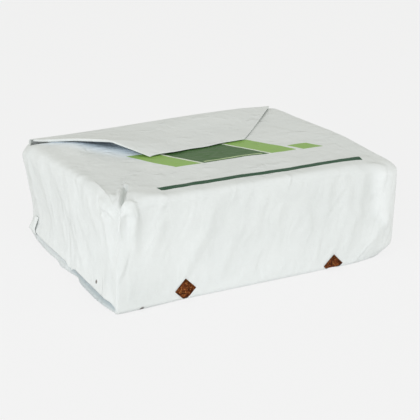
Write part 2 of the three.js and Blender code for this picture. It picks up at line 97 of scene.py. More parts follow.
def rounded(co, grow, corners=CORNER_RADIUS, top_radius=TOP_RADIUS, bottom_radius=BOTTOM_RADIUS):
    """A point of the plain box, moved to the rounded, leaning shape of the slab grown by that much."""
    inset = max(min(LENGTH / 2 - abs(co.x), DEPTH / 2 - abs(co.y)), 0)
    upper = co.z > HEIGHT / 2
    radius = top_radius if upper else bottom_radius
    depth = HEIGHT - co.z if upper else co.z
    new_inset, new_depth = (-grow, depth) if inset < depth else (inset, -grow)
    if inset < radius and depth < radius:
        turn = (radius - depth) / radius if inset < depth else 2 - (radius - inset) / radius
        new_inset = radius - (radius + grow) * math.cos(turn * math.pi / 4)
        new_depth = radius - (radius + grow) * math.sin(turn * math.pi / 4)
    half_x, half_y = LENGTH / 2 - new_inset, DEPTH / 2 - new_inset
    x, y = co.x, co.y
    if new_inset != inset:
        x *= half_x / (LENGTH / 2 - inset)
        y *= half_y / (DEPTH / 2 - inset)
    side_x, side_y = math.copysign(1, x), math.copysign(1, y)
    corner = max(corners[side_x, side_y] - new_inset, LEAST_RADIUS)
    past_x, past_y = abs(x) - half_x + corner, abs(y) - half_y + corner
    if past_x > 0 and past_y > 0:
        reach = max(past_x, past_y)
        turn = math.pi / 4 * min(past_x, past_y) / reach
        if past_x < past_y:
            turn = math.pi / 2 - turn
        x = side_x * (half_x - corner + reach * math.cos(turn))
        y = side_y * (half_y - corner + reach * math.sin(turn))
    return settled(x, y, FILM_OFFSET + (HEIGHT - new_depth if upper else new_depth))


def add_piece(name, shape, *materials):
    """The finished shape, in millimetres, as an object of the scene."""
    bmesh.ops.scale(shape, vec=(MM, MM, MM), verts=shape.verts)
    mesh = bpy.data.meshes.new(name)
    shape.to_mesh(mesh)
    shape.free()
    mesh.shade_smooth()
    for material in materials:
        mesh.materials.append(material)
    piece = bpy.data.objects.new(name, mesh)
    bpy.context.scene.collection.objects.link(piece)
    return piece


def linear(colour):
    """An sRGB hex colour as linear RGBA."""
    parts = [int(colour[i : i + 2], 16) / 255 for i in (1, 3, 5)]
    return [c / 12.92 if c <= 0.04045 else ((c + 0.055) / 1.055) ** 2.4 for c in parts] + [1]


def add_node(tree, kind, inputs={}, **settings):
    """A node of a material with its settings. Inputs are constants or the outputs that they link to."""
    node = tree.nodes.new("ShaderNode" + kind)
    for name, value in settings.items():
        setattr(node, name, value)
    for name, value in inputs.items():
        if isinstance(value, bpy.types.NodeSocket):
            tree.links.new(value, node.inputs[name])
        else:
            node.inputs[name].default_value = value
    return node


def new_material(name):
    """An empty material with its node tree and its output node."""
    material = bpy.data.materials.new(name)
    material.use_nodes = True
    material.node_tree.nodes.clear()
    return material, material.node_tree, material.node_tree.nodes.new("ShaderNodeOutputMaterial")


# Coir: dark pith with paler orange fibres, no gloss. The grain is a little coarser than real pith, so
# that it shows.
PITH_GRAIN, FIBRE_GAP = 2.381, 3.846
coir, tree, output = new_material("pressed coir")
place = add_node(tree, "TexCoord").outputs["Object"]
grain = {"Vector": place, "Scale": 1 / (PITH_GRAIN * MM), "Detail": 5, "Roughness": 0.75}
pith = add_node(tree, "TexNoise", grain)
tangle = {"Vector": place, "Scale": 1 / (FIBRE_GAP * MM), "Detail": 3, "Distortion": 2.5}
strand = add_node(tree, "TexNoise", tangle)
brown = add_node(tree, "ValToRGB", {"Fac": pith.outputs["Fac"]})
brown.color_ramp.elements[0].position = 0.32
brown.color_ramp.elements[0].color = linear("#140803")
brown.color_ramp.elements[1].position = 0.7
brown.color_ramp.elements[1].color = linear("#985027")
fibre = add_node(tree, "MapRange", {"Value": strand.outputs["Fac"], "From Min": 0.56, "From Max": 0.66})
blend = {"Factor": fibre.outputs["Result"], "A": brown.outputs["Color"], "B": linear("#C98448")}
tint = add_node(tree, "Mix", blend, data_type="RGBA")
rough = add_node(tree, "Bump", {"Height": pith.outputs["Fac"], "Strength": 0.9, "Distance": 0.6 * MM})
matt = {"Base Color": tint.outputs["Result"], "Roughness": 0.95, "Specular IOR Level": 0.2}
surface = add_node(tree, "BsdfPrincipled", {**matt, "Normal": rough.outputs["Normal"]})
tree.links.new(surface.outputs["BSDF"], output.inputs["Surface"])

# Places where the slab's top has crumbled: centre, reach and depth
CRUMBLED = [(Vector((-145, -110, HEIGHT)), 40, 5), (Vector((-141, 108, HEIGHT)), 27, 11)]
# Drain holes in the film: middle along and up the wall, and the wall's side
HOLES = [(-89, 10.5, -1), (75, 4.5, -1), (-89, 10.5, 1), (75, 4.5, 1)]
HOLE_SIZE = 16
HOLE_REACH = HOLE_SIZE * math.sqrt(0.5)
# Behind a hole the slab stands back, and its bottom edge is squarer
HOLE_SET_BACK, SQUARE_RADIUS = 2.4, 1
PIT_DEPTH, PIT_SIZE = 0.5, 5
SLAB_STEP = 2.5
slab = grid_box(SLAB_STEP)
for vert in slab.verts:
    square = 0
    for centre_x, centre_z, side in HOLES:
        if vert.co.y * side > 0:
            cut = HOLE_REACH - centre_z
            square = max(square, 1 - smooth(abs(vert.co.x - centre_x), cut + 1, cut + 4))
    edge_radius = BOTTOM_RADIUS - (BOTTOM_RADIUS - SQUARE_RADIUS) * square
    vert.co = rounded(vert.co, 0, bottom_radius=edge_radius)
slab.normal_update()
for vert in slab.verts:
    lost = PIT_DEPTH * (1 + noise.noise(vert.co / PIT_SIZE)) * smooth(vert.co.z, 0.5, 5)
    for spot, reach, depth in CRUMBLED:
        lost += depth * hump((vert.co - spot).length, 0, reach)
    for centre_x, centre_z, side in HOLES:
        from_hole = abs(vert.co.x - centre_x) + abs(vert.co.z - centre_z)
        behind = 1 - smooth(from_hole, HOLE_REACH + 2, HOLE_REACH + 9)
        lost += HOLE_SET_BACK * max(side * vert.normal.y, 0) * behind
    vert.co -= vert.normal * lost
coir_slab = add_piece("coir_block", slab, coir)
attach(coir_slab, "root")
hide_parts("coir_slab")


# Film bag, its body
# One bag of white polyethylene film, blown and welded, pulled round the slab. The film is soft and
# lies loose, so it stands in low folds on the walls and in a tucked fold along the left foot.
WALL_STEP = 3
# The front left corner of the film is a sharp fold
FILM_CORNERS = {**CORNER_RADIUS, (-1, -1): LEAST_RADIUS - FILM_OFFSET}
# Soft folds of each wall: start along and up it, end along and up it, height and width
FRONT_FOLDS = [
    (-139, 97, -140, 52, 1.8, 7),
    (-153, 97, -153, 70, 1.2, 4),
    (-109, 97, -124, 48, 1.6, 9),
    (-57, 95, -87, 24, 2.2, 12),
    (-32, 62, -53, 8, 1.6, 10),
    (-7, 96, -10, 52, 1.4, 9),
    (20, 98, 8, 40, 1.0, 10),
    (36, 76, 46, 40, 1.7, 8),
    (68, 98, 60, 55, 2.0, 7),
    (90, 70, 76, 14, 1.5, 9),
    (84, 98, 98, 30, 2.0, 12),
    (103, 100, 106, 46, 2.4, 12),
    (106, 60, 88, 12, 2.4, 10),
    (139, 52, 114, 10, 3.8, 13),
]
LEFT_FOLDS = [
    (34, 98, -66, 10, 2.1, 10),
    (100, 96, 84, 30, 2.0, 9),
    (-2, 90, -40, 44, 1.6, 8),
    (71, 97, 40, 26, 2.0, 12),
    (-30, 70, -70, 34, 1.3, 7),
    (-48, 98, -74, 62, 1.5, 7),
    (20, 50, -10, 14, 1.3, 8),
    (-84, 99, -112, 40, 1.8, 7),
    (-82, 95, -114, 91, 1.7, 4.5),
    (-100, 50, -110, 12, 0.9, 8),
]
BACK_FOLDS = [
    (-118, 60, -126, 10, 1.6, 12),
    (-84, 66, -70, 8, 1.8, 11),
    (-40, 62, -48, 10, 1.4, 12),
    (2, 66, 18, 8, 1.8, 12),
    (46, 62, 38, 10, 1.4, 11),
    (86, 66, 98, 8, 1.8, 12),
    (124, 60, 120, 12, 1.4, 10),
]
RIGHT_FOLDS = [
    (-92, 98, -80, 10, 2.0, 12),
    (-54, 98, -64, 12, 1.6, 11),
    (-16, 98, -4, 10, 1.8, 12),
    (24, 98, 14, 12, 1.4, 11),
    (58, 98, 70, 10, 1.8, 12),
    (98, 96, 92, 14, 1.6, 10),
]
# Width of a fold's steep flank as a share of the other's, and how sharp its crest is
STEEP_FLANK, CREST_POWER = 0.45, 1.4


def stretch(value, start, full, fade, end):
    """1 from full to fade and 0 before start and after end, with even slopes between."""
    return smooth(value, start, full) * (1 - smooth(value, fade, end))


def fold_height(folds, along, z):
    """How far the soft folds stand out at a place on a wall. Each has one flank steeper than the other."""
    total = 0
    for start, start_z, end, end_z, height, width in folds:
        run, fall = end - start, end_z - start_z
        length = math.hypot(run, fall)
        share = ((along - start) * run + (z - start_z) * fall) / length**2
        away = ((along - start) * fall - (z - start_z) * run) / length
        away /= width if away > 0 else STEEP_FLANK * width
        total += height * stretch(share, -0.2, 0.3, 0.7, 1.2) * math.exp(-(abs(away) ** CREST_POWER))
    return total


# The crease where the loose film of the front right corner starts: x and height of its foot and top
CREASE_FOOT_X, CREASE_FOOT_Z, CREASE_TOP_X, CREASE_TOP_Z = 138, 22, 121, 58
# How far the loose film stands out, and how much less it does round the corner
SLACK_DEPTH, SLACK_LESS = 3.6, 0.9


def corner_slack(co):
    """Share of the loose film round the front right corner, which starts at an upright crease."""
    upright = smooth(co.z, CREASE_FOOT_Z, CREASE_TOP_Z)
    crease = CREASE_FOOT_X - (CREASE_FOOT_X - CREASE_TOP_X) * upright
    crease += 2 * noise.noise(Vector((0, 0, co.z / 14)))
    held = (0.6 + 0.4 * upright) * (1 - smooth(co.z, 90, 104))
    return smooth(co.x - crease, -5, 6) * (1 - smooth(co.y, -112, -70)) * held


def ridges(co, octaves):
    """Sharp-crested crinkles of the film, by a fixed noise."""
    return noise.ridged_multi_fractal(co, 1, 2.1, octaves, 1, 2)


# How far the folds wander from their straight lines, and over what length and height
WANDER, SMALL_WANDER, WANDER_LENGTH, WANDER_HEIGHT = 8, 3, 60, 45
# Size and height of the crinkles on the walls, and the level of their noise that lies flat
CRINKLE_SIZE, CRINKLE_HEIGHT, CRINKLE_LEVEL = 26, 0.6, 0.6
# Gathers beside the front left corner: size, height, middle and reach
GATHER_SIZE, GATHER_HEIGHT = 17, 2.2
GATHER_MIDDLE, GATHER_REACH = (-154, -98, 92), (14, 22, 14)
MOST_SUNK = 0.2


def wall_relief(co, normal):
    """The folds and crinkles of the film at a point of a wall, flat where the flap covers the back."""
    bend = Vector((co.x / WANDER_LENGTH, co.y / WANDER_LENGTH, co.z / WANDER_HEIGHT))
    shift = WANDER * noise.noise(bend) + SMALL_WANDER * noise.noise(3 * bend)
    below_flap = 1 - smooth(co.z, 40, 78)
    relief = max(-normal.y, 0) ** 2 * fold_height(FRONT_FOLDS, co.x + shift, co.z)
    relief += max(normal.y, 0) ** 2 * fold_height(BACK_FOLDS, co.x + shift, co.z) * below_flap
    relief += max(-normal.x, 0) ** 2 * fold_height(LEFT_FOLDS, co.y + shift, co.z)
    relief += max(normal.x, 0) ** 2 * fold_height(RIGHT_FOLDS, co.y + shift, co.z)
    slanted = Vector((co.x - 0.3 * co.z, co.y - 0.35 * co.z, 0.3 * co.z))
    relief += CRINKLE_HEIGHT * (ridges(slanted / CRINKLE_SIZE, 3) - CRINKLE_LEVEL)
    gathered = math.prod(hump(*spread) for spread in zip(co, GATHER_MIDDLE, GATHER_REACH))
    relief += GATHER_HEIGHT * gathered * ridges(co / GATHER_SIZE, 2)
    relief += (SLACK_DEPTH - SLACK_LESS * smooth(co.x, 128, 150)) * corner_slack(co)
    covered = smooth(normal.y, 0.3, 0.8) * smooth(co.z, 44, 58)
    return max(relief, -MOST_SUNK) * (1 - covered)


# The pleat, a fold that runs over the top from the front left corner, with a slot open beside it
PLEAT_START, PLEAT_TURN = Vector((-153, -122, 0)), math.radians(62.5)
PLEAT_LENGTH, PLEAT_HEIGHT, CORNER_HEIGHT = 110, 1.8, 4
SLOT_LENGTH, SLOT_WIDTH, SLOT_MORE, SLOT_DEPTH = 48, 3.6, 1.2, 3
PLEAT_LINE = Vector((math.cos(PLEAT_TURN), math.sin(PLEAT_TURN), 0))
PLEAT_ASIDE = Vector((PLEAT_LINE.y, -PLEAT_LINE.x, 0))
# The flap's left edge as it lies over the top: its tip at the back, and the ways out from it and along it
FLAP_TIP = Vector((-143, 114))
EDGE_OUT, EDGE_ON = Vector((-0.83, -0.56)), Vector((0.56, -0.83))
# Sizes and heights of the low swells and crinkles all over the top
SWELL_SIZE, SWELL_HEIGHT = 40, 0.9
TOP_CRINKLE_SIZE, TOP_CRINKLE_HEIGHT = 30, 0.3
# Single swells of the top: height, then middle and reach along, and middle and reach across
TOP_SWELLS = [(3, -124, 16, 72, 28), (2, 118, 13, -100, 9)]
# Swells that run on: along the right end and under the flap's left edge
RIGHT_X, RIGHT_REACH, RIGHT_SWELL = 138, 20, 1.7
EDGE_PLACE, EDGE_REACH, EDGE_SWELL = -3, 12, 2.1
# The uneven ridge along the left end, and the end panel's edge near it: its x at a y and its slant,
# with a crest beside it that is steep on its right
LEFT_X, LEFT_REACH = -148, 5
PANEL_X, PANEL_Y, PANEL_SLANT = -145.8, -55.7, 0.107
CREST_OUT, CREST_HEIGHT, CREST_LEFT, CREST_RIGHT = 1.6, 1.7, 2.4, 0.9
# The hollow under the flap's left tip, and the way in from the back left corner, which stays whole
HOLLOW_DEPTH, HOLLOW_RIM = 7, 14
CORNER_IN, CORNER_WHOLE, CORNER_HOLLOW = Vector((0.883, -0.47)), -186.5, -184.5


def from_flap_edge(co):
    """How far a point of the top lies outside the flap's left edge and onward along it."""
    from_tip = co.xy - FLAP_TIP
    return from_tip.dot(EDGE_OUT), from_tip.dot(EDGE_ON)


def top_relief(co):
    """The low swells and ridges of the panels on the top, and the hollow under the flap's left tip."""
    clear = smooth(abs((co - PLEAT_START).dot(PLEAT_ASIDE)), 12, 48)
    clear *= max(smooth(-co.y, 0, 30), smooth(abs(co.x + 5), 60, 120))
    soft = 0.5 + 0.5 * noise.noise(Vector((co.x / SWELL_SIZE, co.y / SWELL_SIZE, 3)))
    crinkle = ridges(Vector((co.x / TOP_CRINKLE_SIZE, co.y / TOP_CRINKLE_SIZE, 7)), 3)
    rise = clear * (SWELL_HEIGHT * soft + TOP_CRINKLE_HEIGHT * (crinkle - CRINKLE_LEVEL))
    for height, x, reach_x, y, reach_y in TOP_SWELLS:
        rise += height * hump(co.x, x, reach_x) * hump(co.y, y, reach_y)
    rise += RIGHT_SWELL * hump(co.x, RIGHT_X, RIGHT_REACH) * smooth(co.y, -72, -8)
    uneven = 0.6 + noise.noise(Vector((0, co.y / 18, 5)))
    rise += uneven * hump(co.x, LEFT_X, LEFT_REACH) * (1 - smooth(co.y, 45, 80))
    panel_edge = PANEL_X + PANEL_SLANT * (co.y - PANEL_Y) + noise.noise(Vector((0, co.y / 12, 9)))
    beside = co.x - panel_edge + CREST_OUT
    flank = CREST_LEFT if beside < 0 else CREST_RIGHT
    rise += CREST_HEIGHT * hump(beside, 0, flank) * stretch(co.y, -112, -100, -62, -46)
    outside, onward = from_flap_edge(co)
    rise += EDGE_SWELL * hump(outside, EDGE_PLACE, EDGE_REACH) * stretch(onward, 35, 60, 95, 125)
    rim = HOLLOW_RIM * (1 - smooth(onward, 6, 27))
    hollow = HOLLOW_DEPTH * (1 - smooth(outside - rim, -2.5, 0.5)) * (1 - smooth(onward, 20, 28))
    hollow *= smooth(outside, -40, -14) * smooth(co.xy.dot(CORNER_IN), CORNER_WHOLE, CORNER_HOLLOW)
    return max(rise, 0) - hollow


# Width of the pleat's crest by the way on from the corner
PLEAT_CREST = [(-60, 48), (-4, 18.5), (3, 11.5), (8, 6.5), (24, 5), (400, 5)]
# Section of the pleat: way across it, share of its height and shift aside
PLEAT_SECTION = [
    (-0.4, 0, 0),
    (0.4, 0.5, 1.4),
    (1.2, 0.95, 1.6),
    (2.8, 1, 0.8),
    (10, 0.7, 0),
    (28, 0, 0),
]
# The ridge on the far side of the slot: its place aside, height and width
RIDGE_ASIDE, RIDGE_HEIGHT, RIDGE_WIDTH = -3.2, 2.6, 1.8


def between(points, value):
    """The later entries of a list of points, at a value of their first entry."""
    value = min(max(value, points[0][0]), points[-1][0])
    for (low, *before), (high, *after) in zip(points, points[1:]):
        if value <= high:
            share = (value - low) / (high - low)
            return [a + share * (b - a) for a, b in zip(before, after)]


def pleat_rise(start):
    """How far the pleat lifts a point of the top or front and shifts it aside, with the slot beside it."""
    flat = Vector((start.x, start.y - HEIGHT + start.z, 0)) - PLEAT_START
    aside, onward = flat.dot(PLEAT_ASIDE), flat.dot(PLEAT_LINE)
    crest = between(PLEAT_CREST, onward)[0]
    open_part = stretch(onward, 2, 8, SLOT_LENGTH - 2, SLOT_LENGTH + 3)
    slot = (SLOT_WIDTH + SLOT_MORE * onward / SLOT_LENGTH) * open_part
    height = PLEAT_HEIGHT * (1 - smooth(onward, SLOT_LENGTH, PLEAT_LENGTH) + open_part)
    height += CORNER_HEIGHT * (1 - smooth(onward, 0, 30))
    near = 1 - smooth(onward, 6, 26)
    kept = (1 - 0.4 * smooth(aside, slot + 1.5, crest)) * (1 - smooth(aside, crest, crest + 6))
    kept = 1 - near + near * kept
    kept *= 1 - (1 - smooth(onward, -6, 4)) * (1 - smooth(start.x, -149, -141))
    flank = RIDGE_WIDTH
    if aside < RIDGE_ASIDE:
        flank += 3 * (1 - smooth(onward, 8, 18))
    ridge = RIDGE_HEIGHT * hump(aside, RIDGE_ASIDE, flank) * stretch(onward, -6, 8, 34, 46)
    sink = SLOT_DEPTH * open_part * stretch(aside, -0.6, 0.6, slot - 0.6, slot + 0.6)
    across = (aside - slot) / (1 + 2.2 * (1 - smooth(onward, 0, 46)))
    for (low, rise, shift), (high, next_rise, next_shift) in zip(PLEAT_SECTION, PLEAT_SECTION[1:]):
        if low <= across <= high:
            share = (across - low) / (high - low)
            lifted = smooth(onward, -34, 1) * height * kept * (rise + share * (next_rise - rise))
            shifted = smooth(onward, -9, 1) * min(height / CORNER_HEIGHT, 1)
            shifted *= shift + share * (next_shift - shift)
            return lifted - sink * (1 - rise), shifted
    return (ridge - sink if across < 0 else 0), 0


# Section of the fold along the left foot: height on the wall, way out and way up
FOOT_FOLD = [
    (0, 1.6, 0),
    (3, 1.2, 0.6),
    (4.5, 0, 2.2),
    (6, -3.4, 4.2),
    (7.5, -1.6, 2.9),
    (9, 0, 0.6),
    (10.5, 0.2, 0.6),
    (12, -0.3, 0.4),
]
# Its reach at the front, how much more it reaches at the back, and the height over which it fades
FOOT_REACH, FOOT_MORE, FOOT_FADE = 3.8, 4.6, 45
# Where the fold is caught and drawn down: place along, reach and sag
CAUGHT_Y, CAUGHT_REACH, CAUGHT_SAG = -16, 7, 6
# The skirt under the fold: its reach, and its waves by place along, reach and width
SKIRT_REACH = 1.6
SKIRT_WAVES = [(-1, 1.4, 8), (-33, -3.6, 11), (21, -1.2, 8)]


def foot_fold(z, y):
    """How far the fold along the left foot takes a point out and up, by its height and its place along."""
    far_y = 2 * y / DEPTH
    reach = FOOT_REACH + FOOT_MORE * smooth(far_y, -0.25, 0.6)
    reach *= smooth(far_y + 1, 0, 0.14) * (1 - 0.6 * smooth(far_y, 0.82, 1))
    depth = min(reach / FOOT_REACH, 1)
    sag = CAUGHT_SAG * hump(y, CAUGHT_Y, CAUGHT_REACH)
    skirt = SKIRT_REACH * stretch(y, -112, -85, 80, 108)
    for middle, more, width in SKIRT_WAVES:
        skirt += more * hump(y, middle, width)
    reach += skirt * (1 - smooth(z, 3, 5))
    fold_top, top_out, top_rise = FOOT_FOLD[-1]
    if z <= fold_top:
        out, rise = between(FOOT_FOLD, z)
        return reach + depth * out, depth * rise - sag * smooth(z, 6, 9)
    fade = (1 - min((z - fold_top) / FOOT_FADE, 1)) ** 4
    return (reach + depth * top_out) * fade, (depth * top_rise - sag) * fade


# A point closer than this to a plane lies on it
TOUCH = 1e-3


def cut_along(shape, faces, place, normal):
    """Cuts faces of a shape along a plane and takes nothing away."""
    edges = {e for f in faces for e in f.edges}
    verts = {v for f in faces for v in f.verts}
    geometry = [*verts, *edges, *faces]
    bmesh.ops.bisect_plane(shape, geom=geometry, plane_co=place, plane_no=normal, dist=TOUCH)


# The fold along the foot and the sharp front left corner get cuts of their own
EDGE_STRIP = 1
body = grid_box(WALL_STEP)
for height, _, _ in FOOT_FOLD:
    if height % WALL_STEP:
        cut_along(body, body.faces[:], (0, 0, height), (0, 0, 1))
cut_along(body, body.faces[:], (EDGE_STRIP - LENGTH / 2, 0, 0), (1, 0, 0))
cut_along(body, body.faces[:], (0, EDGE_STRIP - DEPTH / 2, 0), (0, 1, 0))

# The flat of the underside lies on the floor and needs no grid
HIDDEN_INSET = 27
hidden = []
for face in body.faces:
    middle = face.calc_center_median()
    inner = abs(middle.x) < LENGTH / 2 - HIDDEN_INSET and abs(middle.y) < DEPTH / 2 - HIDDEN_INSET
    if face.normal.z < -0.9 and inner:
        hidden.append(face)
bmesh.ops.dissolve_faces(body, faces=hidden, use_verts=True)

# Crisp folds get a finer grid: left of an x, between two places across, and that far down from the top
FINE_PLACES = [(-118, -DEPTH, -78, 21), (-136, -DEPTH, -48, 9), (-120, 84, DEPTH, 7)]
FINE_CUTS = 3
fine = []
for edge in body.edges:
    ends = [vert.co for vert in edge.verts]
    for right, front, back, down in FINE_PLACES:
        if all(end.x < right and front < end.y < back and end.z > HEIGHT - down for end in ends):
            fine.append(edge)
            break
bmesh.ops.subdivide_edges(body, edges=fine, cuts=FINE_CUTS, use_grid_fill=True)
for offset, _, _ in PLEAT_SECTION[:4]:
    top = [f for f in body.faces if f.normal.z > 0.9 and f.calc_center_median().y < 0]
    cut_along(body, top, PLEAT_START + PLEAT_ASIDE * offset, PLEAT_ASIDE)

# Shares of the painted shade on the grey strip along the left foot, of the painted light on the loose film
# and of the cool painted tint in the shade beside the flap's edge
strip = body.verts.layers.float.new("painted foot shade")
slack = body.verts.layers.float.new("painted slack light")
shaded = body.verts.layers.float.new("shaded film")
corner_x, corner_y = EDGE_STRIP - LENGTH / 2, EDGE_STRIP - DEPTH / 2
for edge in body.edges:
    if all(vert.co.x < corner_x and vert.co.y < corner_y for vert in edge.verts):
        edge.smooth = abs(edge.verts[0].co.z - edge.verts[1].co.z) < TOUCH

# The film is drawn tighter over the front and left edges of the top than over the others
TIGHTER = 4
plain = [vert.co.copy() for vert in body.verts]
for vert in body.verts:
    tight_front = smooth(-vert.co.y, 85, 112) * (1 - smooth(vert.co.x, 60, 120))
    tight_left = smooth(-vert.co.x, 110, 142) * (1 - smooth(vert.co.y, 30, 90))
    top_radius = TOP_RADIUS - TIGHTER * max(tight_front, tight_left)
    vert.co = rounded(vert.co, FILM_OFFSET, FILM_CORNERS, top_radius)
body.normal_update()
normals = [vert.normal.copy() for vert in body.verts]

# The left part of the front wall flares out towards its foot
FOOT_FLARE, FLARE_TOP = 4.6, 55
# Each point of the film goes out with the folds, crinkles and swells of its place
for vert, start, normal in zip(body.verts, plain, normals):
    across = Vector((normal.x, normal.y, 0))
    upward = max(normal.z, 0) ** 2
    if normal.z > -0.7:
        clear_of_foot = smooth(vert.co.z, 2, 24)
        vert.co += across * wall_relief(vert.co, normal) * clear_of_foot * (1 - upward)
        vert.co.z += top_relief(vert.co) * upward
        if start.z > HEIGHT - TOUCH or start.y < TOUCH - DEPTH / 2:
            lifted, shifted = pleat_rise(start)
            vert.co += normal * lifted - PLEAT_ASIDE * shifted
        flare = FOOT_FLARE * (1 - smooth(vert.co.x, -152, -72)) * (1 - smooth(start.z, 0, FLARE_TOP))
        vert.co.y -= flare * max(-across.y, 0)
    lip = max(-across.x, 0) ** 4
    out, rise = foot_fold(start.z, start.y)
    vert.co.x -= lip * out
    vert.co.z += lip * rise
    # The grey strip is painted shade, darkest just under the lip of the fold and paler at the floor
    vert[strip] = lip * (1 - smooth(start.z, 6, 8)) * (0.2 + 0.8 * smooth(start.z, 1.5, 6))
    vert[strip] *= 1 - 0.6 * smooth(start.y, -24, -12)
    # The loose film at the front right corner is painted lighter, as painted light where it turns from the
    # lamps
    vert[slack] = corner_slack(vert.co)
    outside = from_flap_edge(vert.co)[0]
    vert[shaded] = (1 - smooth(outside, -4, 22)) * smooth(vert.co.z, 92, 100)
    vert[shaded] *= smooth(-vert.co.x, 40, 60) * (1 - smooth(vert.co.y, 92, 108))

# Drain holes, squares punched cornerwise through the film of the walls and round their foot
CUT_TOP, HOLE_TOP = 26, 30
WALL_FACING = 0.5
for centre_x, centre_z, side in HOLES:
    wall_y = side * DEPTH / 2
    for turn_x, turn_z in ((-1, -1), (-1, 1), (1, -1), (1, 1)):
        wall, base = [], []
        for face in body.faces:
            middle = face.calc_center_median()
            away = max(abs(middle.x - centre_x), abs(middle.y - wall_y))
            if away < HOLE_SIZE and middle.z < CUT_TOP:
                group = wall if face.normal.y * side > WALL_FACING else base
                group.append(face)
        corner = centre_x + turn_x * HOLE_REACH
        cut_along(body, wall, (corner, wall_y, centre_z), (turn_x, 0, turn_z))
        cut_along(body, base, (corner, wall_y + side * centre_z, 0), (turn_x, side * turn_z, 0))
    punched = []
    for face in body.faces:
        middle = face.calc_center_median()
        if abs(middle.y - wall_y) > HOLE_SIZE or middle.z > HOLE_TOP:
            continue
        height = middle.z if face.normal.y * side > WALL_FACING else side * (middle.y - wall_y)
        if abs(middle.x - centre_x) + abs(height - centre_z) < HOLE_REACH:
            punched.append(face)
    bmesh.ops.delete(body, geom=punched, context="FACES")


# Flap
# The back panel of the same film, brought forward over the top as a trapezoid. Its sides are turned
# under: the left fold stands open and rises to a bend, the right one lies flat.
# Reach from the back edge, and width at the front and at the back
FLAP_REACH, FLAP_FRONT, FLAP_BACK = 119, 115, 285
# Shift of the front and of the back along the bag, and how much farther the left side reaches
FRONT_SHIFT, BACK_SHIFT, FLAP_SKEW = -9, -1.2, 13
# Height above the top, and the swell at the back
FLAP_LEVEL, FLAP_RISE = 1.6, 4.6
# The left edge's lift at its bend, the bend's place as a share of the way forward, and a divisor that
# gives the edge about all of that lift
FLAP_LIFT, FLAP_BEND, EDGE_SHARE = 9, 0.68, 0.73
# Gaps between the layers of the two side folds and at their inner edges, and the width turned under
GAP_LEFT, GAP_RIGHT, GAP_LEAST = 3, 0.8, 0.4
TUCK_WIDTH = 50
# Share of the flap's reach that goes on down the back wall, and how far below the edge it lies flat
ROOT, ROOT_SETTLE = 0.42, 22


def left_gap(along):
    """Between the layers of the left fold, which is pressed flat at the flap's front corner."""
    return GAP_RIGHT + (GAP_LEFT - GAP_RIGHT) * (1 - smooth(along, 0.55, 0.95))


def flap_lift(across, along):
    """Height of the flap above its level. The left edge climbs to a bend and falls to its corner."""
    loose = (1 - smooth(across, -0.25, 0.7)) ** 1.5 / EDGE_SHARE
    bend = min(along / FLAP_BEND, (1 - along) / (1 - FLAP_BEND))
    edge = (left_gap(along) - GAP_RIGHT) * smooth(along, 0, 0.4) + FLAP_LIFT * bend
    wave = 0.4 * math.sin(3 * math.pi * across) * smooth(along, 0.5, 1)
    full = smooth(across, 0.05, 0.8) - 0.3 * smooth(across, 0.85, 1)
    return loose * edge + wave + FLAP_RISE * full * (1 - smooth(along, 0, 0.8))


def flap_point(across, along):
    """A point of the flap's upper layer, across from left to right and along from the back edge."""
    reach = FLAP_REACH - TOP_RADIUS - FLAP_SKEW * (across - 0.5)
    width = FLAP_BACK + (FLAP_FRONT - FLAP_BACK) * max(along, 0)
    x = BACK_SHIFT + (FRONT_SHIFT - BACK_SHIFT) * max(along, 0) + width * (across - 0.5)
    back = DEPTH / 2 - TOP_RADIUS
    top = BAG_HEIGHT + FLAP_LEVEL
    if along < 0:
        radius = TOP_RADIUS + FILM_OFFSET + FLAP_LEVEL
        turn = -along * reach / radius
        below = max(turn - math.pi / 2, 0) * radius
        turn = min(turn, math.pi / 2)
        settle = smooth(below, 0, ROOT_SETTLE)
        lift = flap_lift(across, 0) * math.cos(turn)
        pressed = 1.1 * smooth(abs(2 * across - 1), 0.8, 1)
        y = back + (radius - pressed) * math.sin(turn) - settle * (FLAP_LEVEL + 0.6 - pressed)
        z = top - radius + radius * math.cos(turn) - below + lift
        return settled(x * (1 - 0.02 * settle), y, z, False)
    ripple = 0.8 * math.sin(6 * math.pi * across) * smooth(along, 0.8, 1)
    swell = 0.5 * noise.noise(Vector((x / 30, reach * along / 30, 11)))
    return settled(x, back - reach * along + ripple, top + flap_lift(across, along) + swell, False)


FLAP_COLUMNS, FLAP_ROWS = 136, 64
